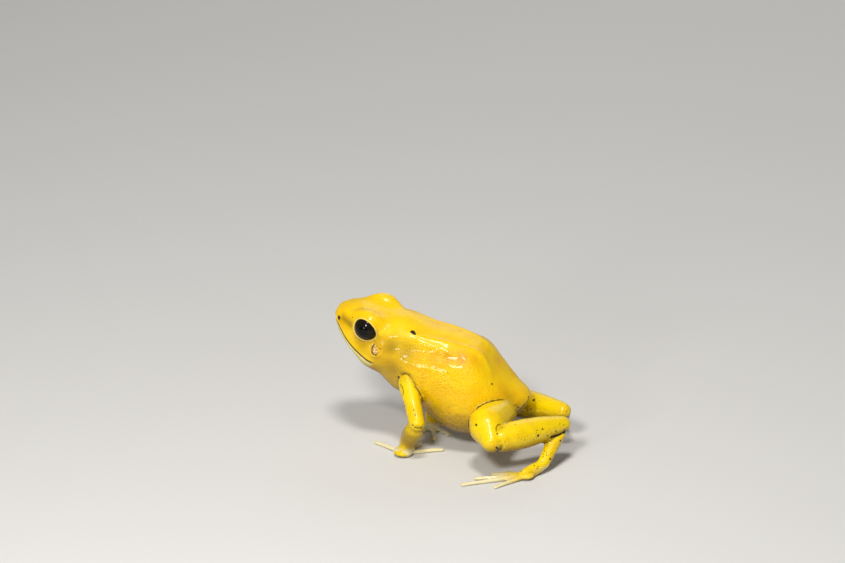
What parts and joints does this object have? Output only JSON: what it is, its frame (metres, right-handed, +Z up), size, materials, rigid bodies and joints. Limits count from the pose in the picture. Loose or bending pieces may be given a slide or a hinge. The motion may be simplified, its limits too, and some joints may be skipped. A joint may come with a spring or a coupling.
{
  "type": "golden poison frog",
  "caption": "Life-size still model of a golden poison frog standing alert on all its feet, head raised and turned a little to its right, with long padded toes.",
  "frame": {"origin": "on the floor, under the middle of the frog's overall box", "axes": "+Z up; the frog faces along -X; its left side faces -Y"},
  "size_m": [0.0522, 0.0452, 0.0293],
  "materials": {
    "back_skin": "moist glossy skin, warm yellow, finely granular on the flanks",
    "limb_skin": "moist glossy skin, lemon yellow with tiny dark specks",
    "digit_skin": "moist skin, yellow fading to cream at the fingertips and toe tips",
    "eye": "wet, glossy black"
  },
  "bodies": {
    "root": {"head": "back_skin", "lower_jaw": "back_skin", "torso": "back_skin", "eye_left": "eye", "eye_right": "eye", "upper_arm_left": "limb_skin", "upper_arm_right": "limb_skin", "forearm_left": "limb_skin", "forearm_right": "limb_skin", "hand_left": "digit_skin", "hand_right": "digit_skin", "thigh_left": "limb_skin", "thigh_right": "limb_skin", "shin_left": "limb_skin", "shin_right": "limb_skin", "foot_left": "digit_skin", "foot_right": "digit_skin"}
  },
  "joints": []
}
